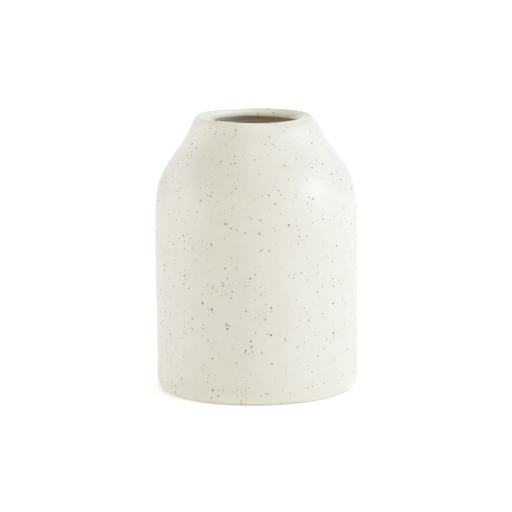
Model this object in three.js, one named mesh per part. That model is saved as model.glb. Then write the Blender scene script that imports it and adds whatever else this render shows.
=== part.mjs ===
// Bud vase: a small stoneware vessel with a straight round wall, a rounded shoulder, a short
// cone and a thick rolled lip round a narrow mouth. Millimetres, +Z up. The origin is the
// centre of the foot, on the surface that the vase stands on.
//
// A fired vase is three layers that were put on one after the other:
//   stoneware_body   the clay shell, with its floor, bare foot ring and rolled lip
//   interior_glaze   the liner coat, poured in first: it is what makes the clay hold water
//   exterior_glaze   the speckled cream coat, from just above the foot, over the lip,
//                    to the underside of the mouth's edge
// All three are solids of revolution about Z, turned with the same angular steps, so that the
// facets of one layer run parallel to the facets of the next.

import * as THREE from "three";

// ---- driving dimensions, mm ---------------------------------------------------------------
const HEIGHT = 127.0; // foot to the crest of the lip
const SEGMENTS = 48; // facets round each layer, a multiple of 4
const GLAZE = 0.45; // thickness of the exterior coat
const LINER = 0.4; // thickness of the interior coat
const SEAM = 0.05; // clearance between a coat and the clay
const WALL = 4.75; // whole wall, both coats included
const FLOOR_Z = 7.4; // height of the wet floor
const FLOOR_FILLET = 7.0; // radius between the wet floor and the wall
const FOOT_OUTER_R = 43.75; // foot ring, outer edge of its flat
const FOOT_INNER_R = 35.0; // foot ring, inner edge of its flat
const RECESS_Z = 1.9; // depth of the hollow inside the foot ring
const GLAZE_LINE = [44.25, 0.35]; // lower edge of the exterior coat [radius, height]

// Outside of the exterior coat, [radius, height], from the glaze line up the wall and over
// the shoulder and the cone to the start of the lip.
const SIDE = [
  GLAZE_LINE,
  [45.1, 1.15],
  [45.75, 2.1],
  [46.25, 3.3],
  [46.53, 4.8],
  [46.63, 8.0],
  [46.76, 30.0],
  [46.97, 68.0],
  [46.92, 78.0],
  [46.7, 86.0],
  [46.08, 92.0],
  [44.94, 97.0],
  [42.6, 102.0],
  [39.65, 107.0],
  [36.01, 112.0],
  [33.11, 116.0],
  [30.8, 120.0],
];

// The lip: out of the cone, over the crest, down the dished top to the mouth's rounded edge,
// and a short way back underneath it. The narrowest place is 19.15 mm from the axis.
const LIP = [
  [29.3, 123.0],
  [28.65, 124.35],
  [27.8, 125.65],
  [26.75, 126.6],
  [25.9, HEIGHT],
  [24.25, 126.7],
  [22.25, 126.05],
  [20.6, 125.45],
  [19.55, 124.85],
  [19.15, 124.3],
  [19.2, 123.85],
  [19.5, 123.5],
];

// Wet side of the liner under the lip, from the mouth's edge out to the inner wall. The clay is
// thickest here, behind the lip.
const UNDER_LIP = [
  [19.75, 123.3],
  [20.5, 122.5],
  [21.4, 121.3],
  [22.5, 119.65],
  [23.9, 117.6],
  [25.75, 115.2],
  [27.9, 113.0],
  [30.1, 110.9],
];

// ---- profiles -----------------------------------------------------------------------------

// A profile moved by d towards the side on its left, which is the side the clay is on when
// the profile runs up the outside, over the lip and down the inside.
function inset(points, d) {
  const n = points.slice(1).map(([r, z], i) => {
    const dr = r - points[i][0],
      dz = z - points[i][1],
      l = Math.hypot(dr, dz);
    return [-dz / l, dr / l];
  });
  return points.map(([r, z], i) => {
    const a = n[Math.max(i - 1, 0)],
      b = n[Math.min(i, n.length - 1)];
    const s = [a[0] + b[0], a[1] + b[1]],
      l = Math.hypot(...s),
      m = d / ((s[0] * a[0] + s[1] * a[1]) / l);
    return [r + (s[0] / l) * m, z + (s[1] / l) * m];
  });
}

const OUTSIDE = [...SIDE, ...LIP];

// The inner wall runs parallel to the outside, from above the floor's fillet to the cone.
const innerWall = inset(OUTSIDE, WALL)
  .slice(6, SIDE.length - 2)
  .reverse();
const wallFoot = innerWall[innerWall.length - 1][0];

// The fillet where the inner wall meets the floor, and the floor to the axis.
const floorCurve = [90, 60, 30, 0].map((deg) => {
  const t = (deg * Math.PI) / 180;
  return [
    wallFoot - FLOOR_FILLET + FLOOR_FILLET * Math.sin(t),
    FLOOR_Z + FLOOR_FILLET - FLOOR_FILLET * Math.cos(t),
  ];
});

// Wet side of the liner, from the mouth down to the middle of the floor.
const WET = [...UNDER_LIP, ...innerWall, ...floorCurve, [0, FLOOR_Z]];

// A profile that ends on the axis keeps its last point there after it is moved.
function insetToAxis(points, d) {
  const moved = inset(points, d);
  moved[moved.length - 1] = [0, FLOOR_Z - d];
  return moved;
}

// ---- solids -------------------------------------------------------------------------------

// Turns a profile about Z. It starts and ends on the axis, or closes on itself.
function turned(name, profile, color, roughness) {
  const geometry = new THREE.LatheGeometry(
    profile.map(([r, z]) => new THREE.Vector2(Math.max(r, 0), z)),
    SEGMENTS,
  );
  geometry.rotateX(Math.PI / 2); // the lathe's own axis is Y
  const mesh = new THREE.Mesh(
    geometry,
    new THREE.MeshStandardMaterial({ color, roughness, metalness: 0 }),
  );
  mesh.name = name;
  return mesh;
}

// Clay: underside of the floor, foot ring, bare edge up to the glaze line, then just inside
// the exterior coat, round the lip, and down behind the liner to the axis.
const clay = [
  [0, RECESS_Z],
  [FOOT_INNER_R - 3.0, RECESS_Z],
  [FOOT_INNER_R - 1.2, 1.3],
  [FOOT_INNER_R, 0],
  [FOOT_OUTER_R, 0],
  [FOOT_OUTER_R + 0.12, 0.12],
  ...inset(OUTSIDE, GLAZE + SEAM),
  ...insetToAxis(WET, LINER + SEAM),
];

// Exterior coat: its outside, then back along the side that lies on the clay.
const coat = [...OUTSIDE, ...inset(OUTSIDE, GLAZE).reverse(), OUTSIDE[0]];

// Liner: the side that lies on the clay from the axis up to the mouth, then its wet side
// back down to the axis.
const liner = [...insetToAxis(WET, LINER).reverse(), ...WET];

const vase = new THREE.Group();
vase.name = "bud_vase";
vase.add(
  turned("stoneware_body", clay, 0xd1c9bd, 0.85),
  turned("exterior_glaze", coat, 0xdbd6c7, 0.42),
  turned("interior_glaze", liner, 0xe8dbc4, 0.5),
);

export default vase;
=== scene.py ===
"""Looks of the bud vase: a cream speckled stoneware vessel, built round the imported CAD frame.

Three fine turned pieces stand for the three CAD nodes: the bare stoneware shell, the
speckled coat outside and the liner inside. Lengths are in metres in the scene; profile
numbers are in millimetres, as on a drawing, and are turned into metres when a mesh is made.
"""

import math

import bpy
import numpy as np
from mathutils import Matrix, Vector


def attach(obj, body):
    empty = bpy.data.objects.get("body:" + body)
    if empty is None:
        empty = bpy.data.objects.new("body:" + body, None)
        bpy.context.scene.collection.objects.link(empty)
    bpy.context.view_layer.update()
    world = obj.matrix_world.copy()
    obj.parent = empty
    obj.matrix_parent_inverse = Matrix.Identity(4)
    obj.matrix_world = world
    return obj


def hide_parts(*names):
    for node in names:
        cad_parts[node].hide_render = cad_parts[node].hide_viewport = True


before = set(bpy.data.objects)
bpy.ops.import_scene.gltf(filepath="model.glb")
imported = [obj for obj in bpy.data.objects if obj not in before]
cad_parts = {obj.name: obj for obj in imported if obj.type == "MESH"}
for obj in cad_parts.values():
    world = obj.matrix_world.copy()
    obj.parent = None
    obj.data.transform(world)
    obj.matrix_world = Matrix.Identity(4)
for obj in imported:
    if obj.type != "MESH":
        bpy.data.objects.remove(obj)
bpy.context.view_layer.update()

MM = 0.001

# ---- driving dimensions, mm, the same as the CAD -------------------------------------------

HEIGHT = 127.0
COAT = 0.45  # thickness of the speckled coat
LINER = 0.40  # thickness of the liner
SEAM = 0.05
WALL = 4.75
FLOOR_Z = 7.4
FLOOR_FILLET = 7.0
STEPS = 324  # quads round each piece, a multiple of 12

SIDE = [
    (44.25, 0.35),
    (45.1, 1.15),
    (45.75, 2.1),
    (46.25, 3.3),
    (46.53, 4.8),
    (46.63, 8.0),
    (46.76, 30.0),
    (46.97, 68.0),
    (46.92, 78.0),
    (46.7, 86.0),
    (46.08, 92.0),
    (44.94, 97.0),
    (42.6, 102.0),
    (39.65, 107.0),
    (36.01, 112.0),
    (33.11, 116.0),
    (30.8, 120.0),
]
LIP = [
    (29.3, 123.0),
    (28.65, 124.35),
    (27.8, 125.65),
    (26.75, 126.6),
    (25.9, HEIGHT),
    (24.25, 126.7),
    (22.25, 126.05),
    (20.6, 125.45),
    (19.55, 124.85),
    (19.15, 124.3),
    (19.2, 123.85),
    (19.5, 123.5),
]
UNDER_LIP = [
    (19.75, 123.3),
    (20.5, 122.5),
    (21.4, 121.3),
    (22.5, 119.65),
    (23.9, 117.6),
    (25.75, 115.2),
    (27.9, 113.0),
    (30.1, 110.9),
]
OUTSIDE = SIDE + LIP


# ---- curves --------------------------------------------------------------------------------


def inset_polyline(points, d):
    """The polyline moved by d to its left, corner by corner."""
    p = np.array(points, float)
    e = np.diff(p, axis=0)
    n = np.stack([-e[:, 1], e[:, 0]], 1) / np.linalg.norm(e, axis=1)[:, None]
    a = np.vstack([n[:1], n])
    b = np.vstack([n, n[-1:]])
    s = a + b
    s /= np.linalg.norm(s, axis=1)[:, None]
    return p + s * (d / (s * a).sum(1))[:, None]


def natural_spline(t, y, q):
    """Natural cubic spline through (t, y), read at q."""
    n = len(t)
    h = np.diff(t)
    a = np.zeros((n, n))
    b = np.zeros((n, y.shape[1]))
    a[0, 0] = a[-1, -1] = 1.0
    for i in range(1, n - 1):
        a[i, i - 1], a[i, i], a[i, i + 1] = h[i - 1], 2 * (h[i - 1] + h[i]), h[i]
        b[i] = 6 * ((y[i + 1] - y[i]) / h[i] - (y[i] - y[i - 1]) / h[i - 1])
    m = np.linalg.solve(a, b)
    k = np.clip(np.searchsorted(t, q, side="right") - 1, 0, n - 2)
    hk = h[k][:, None]
    u = ((t[k + 1] - q) / h[k])[:, None]
    v = 1.0 - u
    return (
        u * y[k]
        + v * y[k + 1]
        + ((u**3 - u) * m[k] + (v**3 - v) * m[k + 1]) * hk**2 / 6
    )


class Curve:
    """A smooth profile curve of (radius, height), read by its length s in mm."""

    def __init__(self, points, soft=0.5, spare=2.0):
        pts = [np.array(points[0], float)]
        for p in points[1:]:
            p = np.array(p, float)
            gap = np.linalg.norm(p - pts[-1])
            cuts = max(1, int(round(gap / 8.0)))
            for k in range(1, cuts + 1):
                pts.append(pts[-1] + (p - pts[-1]) / (cuts - k + 1))
        pts = np.array(pts)
        t = np.concatenate([[0], np.cumsum(np.linalg.norm(np.diff(pts, axis=0), axis=1))])
        q = np.linspace(0, t[-1], int(t[-1] / 0.04) + 1)
        c = natural_spline(t, pts, q)
        # straight run-out at both ends, so that an edge can wander past them
        head = c[0] + (c[0] - c[1]) / np.linalg.norm(c[0] - c[1]) * np.linspace(spare, 0.04, int(spare / 0.04))[:, None]
        tail = c[-1] + (c[-1] - c[-2]) / np.linalg.norm(c[-1] - c[-2]) * np.linspace(0.04, spare, int(spare / 0.04))[:, None]
        c = np.vstack([head, c, tail])
        s = np.concatenate([[0], np.cumsum(np.linalg.norm(np.diff(c, axis=0), axis=1))])
        # an even smoothing, wide on the long curves and narrow at the lip and the foot
        tight = np.minimum(np.abs(c[:, 1] - 1.0), np.abs(c[:, 1] - 125.5) + np.maximum(0, c[:, 0] - 27) * 0.6)
        width = np.interp(tight, [0.0, 4.0, 14.0], [0.16, 0.6, 2.2]) * soft / 0.5
        width = np.minimum(width, 0.3 + np.minimum(s, s[-1] - s) * 0.35)
        d = s[None, :] - s[:, None]
        w = np.exp(-0.5 * (d / width[:, None]) ** 2)
        # the run-outs are mirrored through the end points by being straight, so nothing shrinks
        c = (w @ c) / w.sum(1)[:, None]
        s = np.concatenate([[0], np.cumsum(np.linalg.norm(np.diff(c, axis=0), axis=1))])
        k0 = len(head)
        self.s = s - s[k0]
        self.c = c
        self.length = self.s[len(c) - 1 - len(tail)]
        g = np.gradient(c, self.s, axis=0)
        g /= np.linalg.norm(g, axis=1)[:, None]
        self.n = np.stack([-g[:, 1], g[:, 0]], 1)
        bend = np.gradient(np.unwrap(np.arctan2(g[:, 1], g[:, 0])), self.s)
        self.bend = np.abs(bend)

    def at(self, s):
        return np.stack([np.interp(s, self.s, self.c[:, 0]), np.interp(s, self.s, self.c[:, 1])], -1)

    def normal(self, s):
        return np.stack([np.interp(s, self.s, self.n[:, 0]), np.interp(s, self.s, self.n[:, 1])], -1)

    def stations(self, count, ends=True):
        """count places along the curve, closer together where it bends and at its ends."""
        q = np.linspace(0, self.length, 6000)
        bend = np.interp(q, self.s, self.bend)
        near = np.minimum(q, self.length - q)
        load = 1.0 / 1.1 + 3.2 * np.sqrt(bend) + (6.0 * np.exp(-near / 0.35) if ends else 0)
        run = np.concatenate([[0], np.cumsum((load[1:] + load[:-1]) / 2)])
        return np.interp(np.linspace(0, run[-1], count), run, q)


outside = Curve(OUTSIDE)

wall_inside = inset_polyline(OUTSIDE, WALL)[6 : len(SIDE) - 2][::-1]
foot_r = wall_inside[-1][0]
floor_curve = [
    (
        foot_r - FLOOR_FILLET + FLOOR_FILLET * math.sin(math.radians(a)),
        FLOOR_Z + FLOOR_FILLET - FLOOR_FILLET * math.cos(math.radians(a)),
    )
    for a in (90, 75, 60, 45, 30, 15, 0)
]
wet = Curve(UNDER_LIP + [tuple(p) for p in wall_inside] + floor_curve + [(0.0, FLOOR_Z)])


# ---- the hand-made part --------------------------------------------------------------------


def ramp(x, a, b):
    t = np.clip((np.asarray(x, float) - a) / (b - a), 0, 1)
    return t * t * (3 - 2 * t)


def hand(theta, z):
    """How far the turned form strays from true at an angle and height: (radius, x, y, z), mm.
    All three layers take the same values, so the seams between them stay even."""
    up = ramp(z, 3, 60)
    out = up * (
        0.060 * np.cos(2 * theta + 0.9 + 0.008 * z)
        + 0.035 * np.cos(3 * theta - 1.3 - 0.014 * z)
        + 0.018 * np.cos(5 * theta + 2.2 + 0.021 * z)
    )
    out = out + ramp(z, 5, 20) * (
        0.014 * np.cos(2 * math.pi * z / 23.0 + 0.7 * np.cos(theta + 0.4))
        + 0.010 * np.cos(2 * math.pi * z / 11.3 + 1.1 + 0.9 * np.cos(theta - 1.2))
    )
    x = -0.12 * ramp(z, 108, 120) - 0.55 * ramp(z, 123.6, 126.2)
    y = 0.10 * ramp(z, 108, 126)
    rise = ramp(z, 112, 126.5) * (
        0.05
        + 0.070 * np.cos(theta - 1.9)
        + 0.045 * np.cos(2 * theta + 0.3)
        + 0.020 * np.cos(4 * theta + 1.7)
        + 0.30 * np.exp(9 * (np.cos(theta - 2.62) - 1))
        + 0.18 * np.exp(9 * (np.cos(theta - 0.50) - 1))
        + 0.24 * np.exp(14 * (np.cos(theta - 4.08) - 1))
        - 0.16 * np.exp(8 * (np.cos(theta - 4.85) - 1))
    )
    return out, x, y, rise


def ripple(theta, s):
    """Faint turning marks in the speckled coat's own surface, mm."""
    return ramp(s, 3, 10) * (
        0.0045 * np.cos(2 * math.pi * s / 3.7 + 1.6 * np.cos(theta + 0.8) + 0.5)
        + 0.0060 * np.cos(2 * math.pi * s / 6.1 + 1.0 * np.cos(2 * theta - 0.5) + 2.3)
        + 0.0050 * np.cos(9 * theta + s * 0.21) * np.cos(s * 0.11 + 0.7)
    )


def foot_wander(theta):
    """The wiped edge of the speckled coat above the foot, mm along the profile."""
    return (
        0.09 * np.cos(2 * theta + 0.6)
        + 0.07 * np.cos(5 * theta + 2.1)
        + 0.04 * np.cos(11 * theta + 4.0)
        + 0.025 * np.cos(23 * theta + 1.2)
    )


def mouth_wander(theta):
    return 0.05 * np.cos(3 * theta + 1.1) + 0.03 * np.cos(7 * theta + 2.6)


# ---- meshes --------------------------------------------------------------------------------


def place(r, z, theta):
    """Vertices, in metres, of a grid of radii and heights (rows) by angles (columns)."""
    out, dx, dy, dz = hand(theta, z)
    taper = np.clip(r / 6.0, 0, 1)
    # the mouth's edge hangs a little lower at the back left and the back right, and stands a
    # little higher between them
    dz = dz + ramp(r, 24.5, 20.5) * ramp(z, 116, 122) * (
        -0.14 * np.exp(6 * (np.cos(theta - 2.55) - 1))
        + 0.26 * np.exp(9 * (np.cos(theta - 1.83) - 1))
        - 0.45 * np.exp(4 * (np.cos(theta - 0.65) - 1))
    )
    rr = r + out * taper
    return np.stack(
        [rr * np.cos(theta) + dx, rr * np.sin(theta) + dy, z + dz * taper + 0 * theta], -1
    ) * MM


def turned_mesh(name, grid, closed, uv, material, axis_first=False, axis_last=False):
    """A mesh from a grid [row, step, xyz]. closed joins the last row to the first; an axis
    row is drawn together into one vertex. uv(row, step, band, cell) gives the place on the
    map of a corner of the face that starts at that band and cell."""
    rows, steps = grid.shape[:2]
    verts, index = [], np.zeros((rows, steps), int)
    for i in range(rows):
        if (axis_first and i == 0) or (axis_last and i == rows - 1):
            index[i] = len(verts)
            verts.append(grid[i].mean(0))
        else:
            index[i] = np.arange(len(verts), len(verts) + steps)
            verts.extend(grid[i])
    faces, corners = [], []
    for i in range(rows if closed else rows - 1):
        a, b = i, (i + 1) % rows
        for j in range(steps):
            k = (j + 1) % steps
            ring = [(a, j, j), (a, k, j + 1), (b, k, j + 1), (b, j, j)]
            ids, seen, keep = [], set(), []
            for row, col, step in ring:
                v = index[row, col]
                if v in seen:
                    continue
                seen.add(v)
                ids.append(int(v))
                keep.append((i + (row != a), step, i, j))
            if len(ids) >= 3:
                faces.append(ids)
                corners.extend(keep)
    mesh = bpy.data.meshes.new(name)
    mesh.from_pydata([tuple(v) for v in verts], [], faces)
    layer = mesh.uv_layers.new(name="OFBake")
    layer.data.foreach_set("uv", np.array([uv(*c) for c in corners], np.float32).ravel())
    mesh.polygons.foreach_set("use_smooth", np.ones(len(mesh.polygons), bool))
    mesh.materials.append(material)
    mesh.update()
    mesh.validate()
    obj = bpy.data.objects.new(name, mesh)
    bpy.context.scene.collection.objects.link(obj)
    return obj


# ---- shader building -----------------------------------------------------------------------


class Shader:
    """A small helper that adds nodes to one material and joins them."""

    def __init__(self, name):
        self.material = bpy.data.materials.new(name)
        self.material.use_nodes = True
        self.tree = self.material.node_tree
        self.tree.nodes.clear()
        self.out = self.tree.nodes.new("ShaderNodeOutputMaterial")
        self.bsdf = self.tree.nodes.new("ShaderNodeBsdfPrincipled")
        self.join(self.bsdf.outputs[0], self.out.inputs[0])
        where = self.tree.nodes.new("ShaderNodeTexCoord")
        self.mm = self.vector("SCALE", where.outputs["Object"], scale=1000.0)

    def join(self, a, b):
        self.tree.links.new(a, b)

    def feed(self, socket, value):
        if isinstance(value, bpy.types.NodeSocket):
            self.join(value, socket)
        else:
            socket.default_value = value

    def vector(self, operation, a, b=None, scale=None):
        n = self.tree.nodes.new("ShaderNodeVectorMath")
        n.operation = operation
        self.feed(n.inputs[0], a)
        if b is not None:
            self.feed(n.inputs[1], b)
        if scale is not None:
            self.feed(n.inputs["Scale"], scale)
        return n.outputs["Value"] if operation in ("LENGTH", "DISTANCE") else n.outputs[0]

    def math(self, operation, a, b=None, c=None, clamp=False):
        n = self.tree.nodes.new("ShaderNodeMath")
        n.operation = operation
        n.use_clamp = clamp
        self.feed(n.inputs[0], a)
        if b is not None:
            self.feed(n.inputs[1], b)
        if c is not None:
            self.feed(n.inputs[2], c)
        return n.outputs[0]

    def remap(self, value, a, b, c=0.0, d=1.0, kind="LINEAR"):
        n = self.tree.nodes.new("ShaderNodeMapRange")
        n.interpolation_type = kind
        n.clamp = True
        for socket, v in zip(n.inputs, (value, a, b, c, d)):
            self.feed(socket, v)
        return n.outputs[0]

    def noise(self, where, size, detail=2.0, rough=0.5, shift=(0, 0, 0), colour=False):
        """Noise with features of about size mm."""
        moved = self.vector("ADD", where, shift)
        n = self.tree.nodes.new("ShaderNodeTexNoise")
        n.noise_dimensions = "3D"
        self.join(moved, n.inputs["Vector"])
        n.inputs["Scale"].default_value = 1.0 / size
        n.inputs["Detail"].default_value = detail
        n.inputs["Roughness"].default_value = rough
        return n.outputs["Color"] if colour else n.outputs["Fac"]

    def mix(self, a, b, share, kind="MIX"):
        n = self.tree.nodes.new("ShaderNodeMix")
        n.data_type = "RGBA"
        n.blend_type = kind
        n.clamp_result = False
        self.feed(n.inputs[0], share)
        self.feed(n.inputs[6], a)
        self.feed(n.inputs[7], b)
        return n.outputs[2]

    def split(self, value, kind="xyz"):
        n = self.tree.nodes.new("ShaderNodeSeparateXYZ" if kind == "xyz" else "ShaderNodeSeparateColor")
        self.join(value, n.inputs[0])
        return n.outputs[0], n.outputs[1], n.outputs[2]

    def specks(self, where, cell, share, small, large, soft, shift, power=2.0, group=None):
        """Round specks: one candidate in each cell of that many mm, and a share of the
        candidates is kept. Returns (mask, wider mask, random number of the speck)."""
        moved = self.vector("ADD", where, shift)
        v = self.tree.nodes.new("ShaderNodeTexVoronoi")
        v.voronoi_dimensions = "3D"
        v.feature = "F1"
        self.join(moved, v.inputs["Vector"])
        v.inputs["Scale"].default_value = 1.0 / cell
        v.inputs["Randomness"].default_value = 1.0
        away = self.math("MULTIPLY", v.outputs["Distance"], cell)
        r, g, b = self.split(v.outputs["Color"], "colour")
        if group is not None:
            share = self.math("MULTIPLY", group, share)
        kept = self.math("LESS_THAN", r, share)
        size = self.remap(self.math("POWER", g, power), 0.0, 1.0, small, large)
        edge = self.math("SUBTRACT", away, size)
        core = self.remap(edge, -soft, soft, 1.0, 0.0, "SMOOTHSTEP")
        halo = self.remap(edge, -soft, soft + 0.28, 1.0, 0.0, "SMOOTHSTEP")
        return self.math("MULTIPLY", core, kept), self.math("MULTIPLY", halo, kept), b

    def bump(self, height, depth, normal=None):
        """Relief of that many mm for a height from 0 to 1."""
        n = self.tree.nodes.new("ShaderNodeBump")
        n.inputs["Strength"].default_value = 1.0
        n.inputs["Distance"].default_value = depth * MM
        self.join(height, n.inputs["Height"])
        if normal is not None:
            self.join(normal, n.inputs["Normal"])
        return n.outputs[0]


# ---- materials -----------------------------------------------------------------------------


def speckled_glaze():
    """Satin cream glaze over a speckled body: iron specks of several sizes, some sharp and
    dark, some veiled, and thinner and warmer where it breaks over the lip's edges. Painted
    light and shade: fewer specks on the lit right side, painted reflected light as a yellower
    tint on the far side of the lip, painted shade in the brown at the mouth's edge, painted
    light over the foot and a painted highlight along the near left of the lip."""
    m = Shader("speckled_cream_glaze")
    warp = m.vector("SUBTRACT", m.noise(m.mm, 0.45, 1.0, shift=(3.1, 7.7, 1.9), colour=True), (0.5, 0.5, 0.5))
    where = m.vector("ADD", m.mm, m.vector("SCALE", warp, scale=0.20))
    x, y, z = m.split(m.mm)
    # the specks come in loose groups; having fewer of them on the right, the lit side, is painted light, standing in
    # for the light washing them out there
    flock = m.remap(m.noise(m.mm, 7.0, 1.5, shift=(41.0, 13.0, 5.0)), 0.38, 0.62, 0.16, 2.05, "SMOOTHSTEP")
    group = m.math("MULTIPLY", flock, m.remap(x, -40.0, 45.0, 1.25, 0.72))

    main, main_halo, main_rand = m.specks(where, 2.20, 0.21, 0.25, 0.56, 0.10, (5.3, 31.0, 17.0), 1.8, group)
    fine, fine_halo, fine_rand = m.specks(where, 1.70, 0.11, 0.17, 0.38, 0.07, (11.0, 2.0, 5.0), 1.5, group)
    veil, veil_halo, veil_rand = m.specks(where, 2.40, 0.20, 0.28, 0.62, 0.18, (71.0, 9.0, 23.0), 1.5, group)
    dust, dust_halo, dust_rand = m.specks(m.mm, 0.80, 0.06, 0.05, 0.14, 0.03, (2.0, 55.0, 37.0), 1.5, group)

    # body of the glaze: cream, drifting slightly between warm and cool, with cloudy opacity
    cloud = m.noise(m.mm, 34.0, 2.5, 0.55, (7.0, 3.0, 90.0))
    small_cloud = m.noise(m.mm, 5.0, 3.0, 0.6, (17.0, 63.0, 9.0))
    grain = m.noise(m.mm, 0.9, 2.0, 0.6, (0.0, 21.0, 44.0))
    cream = m.mix(CREAM_WARM, CREAM_COOL, m.remap(cloud, 0.36, 0.64))
    tone = m.math("ADD", m.remap(small_cloud, 0.25, 0.75, -0.014, 0.014), m.remap(grain, 0.25, 0.75, -0.010, 0.010))
    bright = m.math("ADD", tone, 1.0)
    cream = m.vector("SCALE", cream, scale=bright)

    # where the coat thins over the crest of the lip and the mouth's edge the body shows warmer
    # all round. The stronger yellow on the far side of the crest and over the far dish is
    # painted reflected light, and the brown at the mouth's edge is partly painted shade
    away = m.vector("LENGTH", m.vector("MULTIPLY", m.mm, (1.0, 1.0, 0.0)))
    uneven = m.remap(m.noise(m.mm, 3.0, 2.0, shift=(5.0, 5.0, 5.0)), 0.3, 0.7, -0.35, 0.35)
    far = m.math("DIVIDE", m.math("ADD", m.math("MULTIPLY", x, 0.26), m.math("MULTIPLY", y, 0.966)), away)
    far = m.remap(far, 0.78, 0.97, 0.0, 1.0, "SMOOTHSTEP")
    level = m.math("ADD", z, uneven)
    crest = m.math(
        "MULTIPLY",
        m.remap(level, 125.2, 126.8, 0.0, 1.0, "SMOOTHSTEP"),
        m.remap(far, 0.0, 1.0, 0.16, 0.58),
    )
    far_dish_painted_tint = m.math("MULTIPLY", m.remap(level, 123.4, 124.8, 0.0, 1.0, "SMOOTHSTEP"), m.math("MULTIPLY", far, 0.34))
    crest = m.math("MAXIMUM", crest, far_dish_painted_tint)
    # painted shade over a real glaze break: the mouth's edge is browned where it rolls down into the mouth
    throat = m.math(
        "MULTIPLY",
        m.remap(m.math("ADD", away, m.math("MULTIPLY", uneven, 0.6)), 22.4, 19.4, 0.0, 1.0, "SMOOTHSTEP"),
        m.remap(z, 118.0, 121.0, 0.0, 1.0),
    )
    # painted light over the foot: lifts the shade at the bottom of the coat
    foot = m.remap(m.math("ADD", z, uneven), 1.7, 0.5, 0.0, 1.0, "SMOOTHSTEP")
    # painted reflected light: a yellower tint on the far side of the crest and dish, over thin glaze all round
    cream = m.mix(cream, CREAM_THIN_WITH_PAINTED_REFLECTION, crest)
    # painted light: paler over the foot, lifting the shade there, and a painted highlight along the near left of the
    # lip
    near = m.math("DIVIDE", m.math("ADD", m.math("MULTIPLY", x, -0.57), m.math("MULTIPLY", y, -0.82)), away)
    painted_lip_highlight = m.math(
        "MULTIPLY",
        m.remap(near, 0.55, 0.85, 0.0, 0.85, "SMOOTHSTEP"),
        m.remap(level, 125.3, 126.4, 0.0, 1.0, "SMOOTHSTEP"),
    )
    cream = m.mix(cream, CREAM_PAINTED_LIGHT, m.math("MAXIMUM", painted_lip_highlight, m.math("MULTIPLY", foot, 0.8)))
    # painted shade with a glaze break: brown at the mouth's edge
    cream = m.mix(cream, EDGE_BREAK_AND_PAINTED_SHADE, m.math("MULTIPLY", throat, 0.62))

    # brown bleed round each speck, then veiled specks, then sharp ones
    bleed = m.math("MULTIPLY", m.math("MAXIMUM", m.math("MAXIMUM", fine_halo, main_halo), veil_halo), 0.16)
    colour = m.mix(cream, SPECK_BLEED, bleed)
    colour = m.mix(colour, SPECK_BROWN, m.math("MULTIPLY", veil, m.remap(veil_rand, 0, 1, 0.10, 0.34)))
    colour = m.mix(colour, SPECK_BROWN, m.math("MULTIPLY", dust, m.remap(dust_rand, 0, 1, 0.25, 0.7)))
    colour = m.mix(colour, SPECK_DARK, m.math("MULTIPLY", fine, m.remap(fine_rand, 0, 1, 0.30, 0.80)))
    colour = m.mix(colour, SPECK_DARK, m.math("MULTIPLY", main, m.remap(main_rand, 0, 1, 0.38, 0.86)))
    m.join(colour, m.bsdf.inputs["Base Color"])

    # satin: a little uneven, drier on the specks
    sheen = m.noise(m.mm, 12.0, 3.0, 0.6, (9.0, 4.0, 31.0))
    rough = m.remap(sheen, 0.3, 0.7, ROUGH[0], ROUGH[1])
    sharp = m.math("MAXIMUM", fine, main)
    rough = m.math("ADD", rough, m.math("MULTIPLY", sharp, 0.14))
    m.join(rough, m.bsdf.inputs["Roughness"])
    m.bsdf.inputs["IOR"].default_value = 1.5

    # relief: a low orange peel, finer grain, and specks that stand a little proud
    peel = m.noise(m.mm, 2.6, 2.0, 0.5, (1.0, 8.0, 3.0))
    n = m.bump(peel, 0.018)
    n = m.bump(grain, 0.006, n)
    n = m.bump(m.math("MAXIMUM", sharp, m.math("MULTIPLY", veil, 0.5)), 0.018, n)
    m.join(n, m.bsdf.inputs["Normal"])
    return m.material


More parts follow.
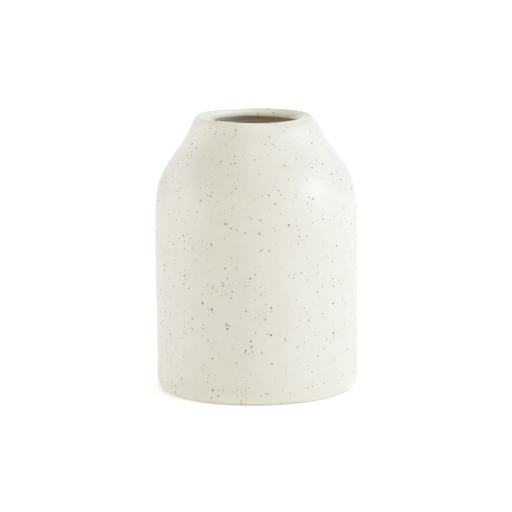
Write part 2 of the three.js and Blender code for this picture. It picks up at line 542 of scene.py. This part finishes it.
def liner_glaze():
    """The coat inside: a thin warm cream with fine specks and a drift of tone, and a painted
    shade band just under the mouth's edge. The light that gets in has crossed the vessel
    several times, so it reads brown in the mouth."""
    m = Shader("liner_glaze")
    warp = m.vector("SUBTRACT", m.noise(m.mm, 0.5, 1.0, shift=(8.0, 1.0, 6.0), colour=True), (0.5, 0.5, 0.5))
    where = m.vector("ADD", m.mm, m.vector("SCALE", warp, scale=0.2))
    group = m.remap(m.noise(m.mm, 10.0, 1.5, shift=(2.0, 33.0, 5.0)), 0.36, 0.62, 0.4, 1.4, "SMOOTHSTEP")
    main, main_halo, main_rand = m.specks(where, 2.2, 0.22, 0.14, 0.36, 0.08, (5.0, 1.0, 77.0), 1.8, group)
    fine, fine_halo, fine_rand = m.specks(where, 1.2, 0.20, 0.07, 0.2, 0.04, (19.0, 12.0, 7.0), 1.6, group)
    cloud = m.noise(m.mm, 22.0, 3.0, 0.6, (4.0, 9.0, 2.0))
    streak = m.noise(m.vector("MULTIPLY", m.mm, (1.0, 1.0, 0.22)), 4.5, 3.0, 0.6, (31.0, 2.0, 9.0))
    colour = m.mix(LINER_DARK, LINER_LIGHT, m.remap(m.math("ADD", m.math("MULTIPLY", cloud, 0.6), m.math("MULTIPLY", streak, 0.4)), 0.34, 0.66))
    # painted shade: browner just under the mouth's edge, where the lip shades the inner wall, less on the left side,
    # which the light from the right reaches
    x, y, z = m.split(m.mm)
    uneven = m.remap(m.noise(m.mm, 6.0, 2.0, shift=(15.0, 2.0, 6.0)), 0.3, 0.7, -0.3, 0.3)
    painted_lip_shade = m.math(
        "MULTIPLY",
        m.remap(m.math("ADD", z, uneven), 121.8, 123.2, 0.0, 1.0, "SMOOTHSTEP"),
        m.remap(x, -16.0, -6.0, 0.15, 0.95, "SMOOTHSTEP"),
    )
    colour = m.mix(colour, LINER_PAINTED_SHADE, painted_lip_shade)
    colour = m.mix(colour, SPECK_BLEED, m.math("MULTIPLY", m.math("MAXIMUM", main_halo, fine_halo), 0.15))
    colour = m.mix(colour, SPECK_DARK, m.math("MULTIPLY", m.math("MAXIMUM", main, fine), m.remap(main_rand, 0, 1, 0.25, 0.7)))
    m.join(colour, m.bsdf.inputs["Base Color"])
    m.join(m.remap(cloud, 0.3, 0.7, 0.34, 0.48), m.bsdf.inputs["Roughness"])
    m.bsdf.inputs["IOR"].default_value = 1.5
    n = m.bump(m.noise(m.mm, 3.0, 2.0, 0.5, (2.0, 2.0, 8.0)), 0.03)
    n = m.bump(m.math("MAXIMUM", main, fine), 0.015, n)
    m.join(n, m.bsdf.inputs["Normal"])
    return m.material


def bare_stoneware():
    """Buff fired clay with fine grog: pale and dark grains, open pores, a foot ring rubbed a
    little darker where it stands, and painted light on the strip along its outer edge,
    lifting the shade under the coat's edge."""
    m = Shader("bare_stoneware")
    grain = m.noise(m.mm, 0.35, 3.0, 0.65, (3.0, 1.0, 4.0))
    sand = m.noise(m.mm, 1.1, 3.0, 0.6, (13.0, 1.0, 4.0))
    cloud = m.noise(m.mm, 16.0, 3.0, 0.6, (1.0, 17.0, 4.0))
    colour = m.mix(CLAY_DARK, CLAY_LIGHT, m.remap(m.math("ADD", m.math("MULTIPLY", cloud, 0.55), m.math("MULTIPLY", sand, 0.45)), 0.36, 0.64))
    tone = m.math("ADD", m.remap(grain, 0.25, 0.75, -0.10, 0.10), 1.0)
    colour = m.vector("SCALE", colour, scale=tone)
    pale, pale_halo, pale_rand = m.specks(m.mm, 0.9, 0.35, 0.06, 0.2, 0.03, (6.0, 2.0, 1.0), 1.5)
    iron, iron_halo, iron_rand = m.specks(m.mm, 1.7, 0.36, 0.08, 0.34, 0.04, (9.0, 14.0, 3.0), 1.8)
    colour = m.mix(colour, CLAY_PALE, m.math("MULTIPLY", pale, 0.5))
    colour = m.mix(colour, SPECK_BLEED, m.math("MULTIPLY", iron_halo, 0.22))
    colour = m.mix(colour, SPECK_DARK, m.math("MULTIPLY", iron, m.remap(iron_rand, 0, 1, 0.5, 0.95)))
    x, y, z = m.split(m.mm)
    rubbed = m.remap(z, 0.06, 0.01, 0.0, 1.0, "SMOOTHSTEP")
    colour = m.mix(colour, CLAY_RUBBED, m.math("MULTIPLY", rubbed, 0.35))
    # painted light: the strip between the coat and the ring is paler, lifting the shade under the coat's edge
    away = m.vector("LENGTH", m.vector("MULTIPLY", m.mm, (1.0, 1.0, 0.0)))
    painted_edge_light = m.math("MULTIPLY", m.remap(away, 42.6, 43.5, 0.0, 1.0), m.remap(z, 0.02, 0.12, 0.0, 0.8))
    colour = m.mix(colour, CLAY_PAINTED_LIGHT, painted_edge_light)
    m.join(colour, m.bsdf.inputs["Base Color"])
    m.join(m.remap(grain, 0.3, 0.7, 0.78, 0.92), m.bsdf.inputs["Roughness"])
    m.bsdf.inputs["IOR"].default_value = 1.45
    n = m.bump(grain, 0.05)
    n = m.bump(sand, 0.05, n)
    m.join(n, m.bsdf.inputs["Normal"])
    return m.material


CREAM_WARM = (0.696, 0.664, 0.566, 1)
CREAM_COOL = (0.707, 0.684, 0.596, 1)
# thin glaze at the crest, and painted reflected light on the far side of the lip
CREAM_THIN_WITH_PAINTED_REFLECTION = (0.690, 0.672, 0.435, 1)
# painted light over the foot and painted highlight on the near left of the lip
CREAM_PAINTED_LIGHT = (0.770, 0.735, 0.620, 1)
# glaze break and painted shade at the mouth's edge
EDGE_BREAK_AND_PAINTED_SHADE = (0.500, 0.430, 0.270, 1)
SPECK_DARK = (0.052, 0.041, 0.020, 1)
SPECK_BROWN = (0.150, 0.115, 0.075, 1)
SPECK_BLEED = (0.500, 0.400, 0.270, 1)
LINER_DARK = (0.800, 0.700, 0.530, 1)
LINER_LIGHT = (0.850, 0.765, 0.605, 1)
# painted shade under the mouth's edge, inside
LINER_PAINTED_SHADE = (0.570, 0.455, 0.285, 1)
CLAY_DARK = (0.600, 0.550, 0.470, 1)
CLAY_LIGHT = (0.680, 0.635, 0.555, 1)
CLAY_PALE = (0.780, 0.740, 0.660, 1)
CLAY_RUBBED = (0.520, 0.470, 0.390, 1)
# painted light on the clay strip under the coat's edge
CLAY_PAINTED_LIGHT = (0.830, 0.795, 0.710, 1)
ROUGH = (0.39, 0.47)

# ---- the three pieces ----------------------------------------------------------------------

START = math.radians(210)  # the first third of the coat's map faces the camera
theta = START + np.arange(STEPS) * (2 * math.pi / STEPS)
T = theta[None, :]


def coat_piece():
    L = outside.length
    s = outside.stations(231)
    back = np.concatenate(
        [
            np.linspace(L, L - 3, 16)[1:],
            np.linspace(L - 3, L - 18, 18)[1:],
            np.linspace(L - 18, L - 60, 17)[1:],
            np.linspace(L - 60, 8, 12)[1:],
            np.linspace(8, 0, 9)[1:-1],
        ]
    )
    # thickness: a rounded edge at each end, and a slight roll of glaze just above the foot's
    def thick(q, wide):
        t = np.clip(q / wide, 0, 1)
        return np.sqrt(np.clip(1 - (1 - t) ** 2, 0, 1))

    full = COAT * thick(s, 0.35) * thick(L - s, 0.5) + 0.05 * np.exp(-(((s - 1.5) / 0.9) ** 2)) * thick(s, 0.75)
    ss = s[:, None] + foot_wander(T) * np.clip(1 - s[:, None] / 5, 0, 1) ** 2
    ss = ss + mouth_wander(T) * np.clip(1 - (L - s[:, None]) / 2, 0, 1) ** 2
    p, n = outside.at(ss), outside.normal(ss)
    lift = (COAT - full)[:, None] - ripple(T, s[:, None]) * thick(s, 3.0)[:, None]
    r, z = p[..., 0] + n[..., 0] * lift, p[..., 1] + n[..., 1] * lift
    bb = back[:, None] + foot_wander(T) * np.clip(1 - back[:, None] / 5, 0, 1) ** 2
    bb = bb + mouth_wander(T) * np.clip(1 - (L - back[:, None]) / 2, 0, 1) ** 2
    pb, nb = outside.at(bb), outside.normal(bb)
    rb, zb = pb[..., 0] + nb[..., 0] * COAT, pb[..., 1] + nb[..., 1] * COAT
    grid = place(np.vstack([r, rb]), np.vstack([z, zb]), T)

    # map: the outside in three upright thirds, the third of them laid on its side, and the
    # hidden back of the coat in the corner that is left
    third = STEPS // 3
    turn = 2 * math.pi * 46.97 / 3
    k = 0.985 / (L + turn)
    front, hidden = len(s), len(back)
    corner, room = 0.02 + L * k, 0.96 - L * k

    def uv(row, step, band, cell):
        if band >= front - 1:
            q = (row - front + 1) / (hidden + 1)
            return corner + room * step / STEPS, corner + room * q
        part = cell // third
        along, across = s[row], (step - part * third) / third * turn
        if part == 0:
            return 0.004 + across * k, 0.004 + along * k
        if part == 1:
            return 0.010 + (turn + across) * k, 0.004 + along * k
        return 0.004 + along * k, 0.012 + (L + across) * k

    return turned_mesh("speckled_coat", grid, True, uv, speckled_glaze())


def liner_piece():
    L = wet.length
    s = wet.stations(225)
    back = np.concatenate([np.linspace(L, L - 36, 6), np.linspace(L - 36, L - 60, 12)[1:], np.linspace(L - 60, 30, 10)[1:], np.linspace(30, 0, 22)[1:-1]])
    t = np.clip(s / 0.5, 0, 1)
    full = LINER * np.sqrt(np.clip(1 - (1 - t) ** 2, 0, 1))
    ss = s[:, None] + mouth_wander(T) * np.clip(1 - s[:, None] / 2, 0, 1) ** 2
    p, n = wet.at(ss), wet.normal(ss)
    # turning marks on the floor and faint ones up the inner wall
    r0 = p[..., 0]
    on_floor = ramp(r0, 40, 34) * ramp(p[..., 1], 12, 9)
    mark = on_floor * (0.05 * np.cos(2 * math.pi * r0 / 4.6 - T) + 0.02 * np.cos(2 * math.pi * r0 / 2.1 - 2 * T + 1)) * ramp(r0, 0.5, 5)
    mark = mark + ramp(p[..., 1], 16, 30) * ramp(p[..., 1], 118, 105) * 0.03 * np.cos(2 * math.pi * p[..., 1] / 5.4 - T + 0.5 * np.cos(2 * T))
    lift = (LINER - full)[:, None] - 0.5 * mark
    r, z = r0 + n[..., 0] * lift, p[..., 1] + n[..., 1] * lift
    bb = back[:, None] + mouth_wander(T) * np.clip(1 - back[:, None] / 2, 0, 1) ** 2
    pb, nb = wet.at(bb), wet.normal(bb)
    rb, zb = pb[..., 0] + nb[..., 0] * LINER, pb[..., 1] + nb[..., 1] * LINER
    r[-1], z[-1] = 0.0, FLOOR_Z
    rb[0], zb[0] = 0.0, FLOOR_Z - LINER
    wet_grid = place(np.maximum(r, 0), z, T)
    back_grid = place(np.maximum(rb, 0), zb, T)
    # one closed skin: the side on the clay from the axis to the mouth, then the wet side back
    # from the mouth to the axis
    grid = np.vstack([back_grid, wet_grid])
    hidden = len(back)
    cut = int(np.argmax((s > L * 0.5) & (z[:, 0] < 9.5)))

    def uv(row, step, band, cell):
        if band < hidden:
            return 0.48 + 0.5 * step / STEPS, 0.02 + 0.42 * row / hidden
        i = row - hidden
        if band < hidden + cut:
            return 0.004 + 0.992 * step / STEPS, 0.47 + 0.525 * (1 - s[i] / s[cut])
        a, q = START + 2 * math.pi * step / STEPS, 0.222 * float(r[i, 0]) / float(r[cut, 0])
        return 0.23 + q * math.cos(a), 0.23 + q * math.sin(a)

    return turned_mesh(
        "liner_coat", grid, False, uv, liner_glaze(), axis_first=True, axis_last=True
    )


def clay_piece():
    Lo, Lw = outside.length, wet.length
    under = [
        (0.0, 1.90), (6, 1.90), (12, 1.91), (18, 1.90), (24, 1.90), (29, 1.90), (31.2, 1.88), (32.4, 1.78),
        (33.2, 1.55), (33.8, 1.22), (34.3, 0.80), (34.75, 0.38), (35.15, 0.12), (35.6, 0.02), (36.2, 0.0),
        (38.0, 0.0), (40.0, 0.0), (41.8, 0.0), (42.9, 0.0), (43.3, 0.01), (43.5, 0.04), (43.61, 0.11),
        (43.65, 0.22), (43.66, 0.38),
    ]
    so = np.concatenate([[-0.27, -0.14], outside.stations(150)])
    sw = wet.stations(80)
    o = outside.at(so) + outside.normal(so) * (COAT + SEAM)
    w = wet.at(sw) + wet.normal(sw) * (LINER + SEAM)
    w[-1] = (0.0, FLOOR_Z - LINER - SEAM)
    profile = np.vstack([np.array(under), o, w])
    grid = place(np.maximum(profile[:, :1], 0) + 0 * T, profile[:, 1:] + 0 * T, T)
    seen = len(under) + 6  # rows of the underside and the bare strip over the foot
    rows = len(profile)

    def uv(row, step, band, cell):
        if band < seen:
            a, q = START + 2 * math.pi * step / STEPS, 0.32 * float(profile[row, 0]) / 46.0
            return 0.33 + q * math.cos(a), 0.33 + q * math.sin(a)
        return 0.02 + 0.96 * step / STEPS, 0.68 + 0.30 * (row - seen) / (rows - seen)

    return turned_mesh(
        "stoneware_shell", grid, False, uv, bare_stoneware(), axis_first=True, axis_last=True
    )


coat = coat_piece()
shell = clay_piece()
liner = liner_piece()

for piece, node, slot in (
    (coat, "exterior_glaze", "speckled_cream_glaze"),
    (liner, "interior_glaze", "liner_glaze"),
    (shell, "stoneware_body", "stoneware_clay"),
):
    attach(piece, "root")
    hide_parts(node)

# ---- floor, light and camera ---------------------------------------------------------------


FLOOR_GLOW = (0.275, 0.704)  # near the vase, and far from it


def floor_plane():
    mesh = bpy.data.meshes.new("floor")
    h = 6.0
    mesh.from_pydata([(-h, -h, 0), (h, -h, 0), (h, h, 0), (-h, h, 0)], [], [(0, 1, 2, 3)])
    m = Shader("pale_floor")
    drift = m.noise(m.mm, 260.0, 2.0, 0.5)
    m.join(m.mix((0.93, 0.93, 0.925, 1), (0.95, 0.95, 0.948, 1), drift), m.bsdf.inputs["Base Color"])
    m.bsdf.inputs["Roughness"].default_value = 0.8
    m.bsdf.inputs["Specular IOR Level"].default_value = 0.15
    m.bsdf.inputs["Emission Color"].default_value = (1.0, 1.0, 1.0, 1)
    # a lit sweep: it glows a little, more where it runs away from the vase
    reach = m.vector("LENGTH", m.mm)
    glow = m.remap(reach, 250.0, 1100.0, FLOOR_GLOW[0], FLOOR_GLOW[1], "SMOOTHSTEP")
    m.join(glow, m.bsdf.inputs["Emission Strength"])
    mesh.materials.append(m.material)
    floor = bpy.data.objects.new("floor", mesh)
    bpy.context.scene.collection.objects.link(floor)
    return floor


floor = floor_plane()

AIM = Vector((0.0, 0.0, 0.0635))


def heading(azimuth, elevation):
    """The way from the vase to a light: azimuth 0 is the camera's side, 90 its right."""
    a, e = math.radians(azimuth), math.radians(elevation)
    return Vector((math.sin(a) * math.cos(e), -math.cos(a) * math.cos(e), math.sin(e)))


# name: azimuth, elevation, distance m, width m, height m, radiance (r, g, b)
LIGHTS = {
    "key": (78, 25, 1.30, 0.50, 0.50, (6.43, 7.61, 10.17)),
    "fill": (-100, 13, 1.30, 0.80, 0.80, (1.92, 2.09, 2.41)),
    "overhead": (20, 75, 1.30, 0.90, 0.90, (3.24, 3.29, 3.18)),
    "behind": (180, 10, 1.60, 1.60, 0.60, (1.14, 0.89, 1.25)),
    "behind_left": (200, 22, 1.60, 1.00, 0.80, (0.40, 0.63, 0.67)),
    "behind_high": (166, 44, 1.60, 0.35, 0.35, (8.65, 10.45, 11.40)),
    "side_left": (-130, 22, 1.50, 0.50, 0.40, (2.35, 2.20, 2.39)),
    "side_right": (133, 30, 1.50, 0.50, 0.40, (2.30, 2.05, 2.12)),
}

for name, (azimuth, elevation, distance, width, height, radiance) in LIGHTS.items():
    data = bpy.data.lights.new(name, "AREA")
    data.shape = "RECTANGLE"
    data.size, data.size_y = width, height
    top = max(radiance)
    data.color = [c / top for c in radiance]
    data.energy = top * math.pi * width * height
    lamp = bpy.data.objects.new(name, data)
    way = heading(azimuth, elevation)
    lamp.location = AIM + way * distance
    lamp.rotation_mode = "QUATERNION"
    lamp.rotation_quaternion = way.to_track_quat("Z", "Y")
    lamp.visible_camera = False
    bpy.context.scene.collection.objects.link(lamp)

# The sky's tint: near the horizon in front of the vase (the camera's side), near the horizon
# behind it, and overhead.
SKY_FRONT = (1.126, 1.064, 0.989, 1)
SKY_BACK = (0.463, 0.431, 0.470, 1)
SKY_HIGH = (0.011, 0.011, 0.000, 1)


def studio():
    """A plain soft studio: the sky as a smooth wash of the three tints."""
    world = bpy.data.worlds.new("studio")
    world.use_nodes = True
    tree = world.node_tree
    tree.nodes.clear()
    out = tree.nodes.new("ShaderNodeOutputWorld")
    back = tree.nodes.new("ShaderNodeBackground")
    where = tree.nodes.new("ShaderNodeTexCoord")
    parts = tree.nodes.new("ShaderNodeSeparateXYZ")
    tree.links.new(where.outputs["Generated"], parts.inputs[0])
    washes = []
    for axis, start, end in ((1, -0.7, 0.7), (2, 0.05, 0.9)):
        share = tree.nodes.new("ShaderNodeMapRange")
        share.interpolation_type = "SMOOTHSTEP"
        tree.links.new(parts.outputs[axis], share.inputs[0])
        share.inputs[1].default_value, share.inputs[2].default_value = start, end
        wash = tree.nodes.new("ShaderNodeMix")
        wash.data_type = "RGBA"
        tree.links.new(share.outputs[0], wash.inputs[0])
        washes.append(wash)
    low, whole = washes
    low.inputs[6].default_value, low.inputs[7].default_value = SKY_FRONT, SKY_BACK
    tree.links.new(low.outputs[2], whole.inputs[6])
    whole.inputs[7].default_value = SKY_HIGH
    tree.links.new(whole.outputs[2], back.inputs[0])
    back.inputs[1].default_value = 1.0
    tree.links.new(back.outputs[0], out.inputs[0])
    bpy.context.scene.world = world
    return low, whole


sky_low, sky_whole = studio()

# The camera stands 1592 mm from the vase's middle, 9.84 degrees above the horizon, and sees
# 512 px across 3434.4 px of focal length; the middle lands at (256.58, 251.31).
ELEVATION, DISTANCE, FOCAL = math.radians(9.84), 1.592, 3434.4
ROLL = math.radians(-0.508)
scene = bpy.context.scene
camera_data = bpy.data.cameras.new("camera")
camera = bpy.data.objects.new("camera", camera_data)
scene.collection.objects.link(camera)
camera_data.sensor_width = 36.0
camera_data.lens = FOCAL / 512 * 36.0
camera_data.clip_start, camera_data.clip_end = 0.05, 50
away = Vector((0, -math.cos(ELEVATION), math.sin(ELEVATION)))
right = Vector((1, 0, 0))
above = right.cross(-away)
spot = AIM + away * DISTANCE
target = AIM - right * (0.62 / FOCAL * DISTANCE) - above * (4.68 / FOCAL * DISTANCE)
look = (target - spot).normalized()
turn = look.to_track_quat("-Z", "Y").to_matrix() @ Matrix.Rotation(ROLL, 3, "Z")
camera.rotation_mode = "QUATERNION"
camera.location = spot
camera.rotation_quaternion = turn.to_quaternion()
scene.camera = camera

scene.view_settings.view_transform = "Standard"
scene.view_settings.look = "None"
scene.view_settings.exposure = 0.0
scene.view_settings.gamma = 1.0
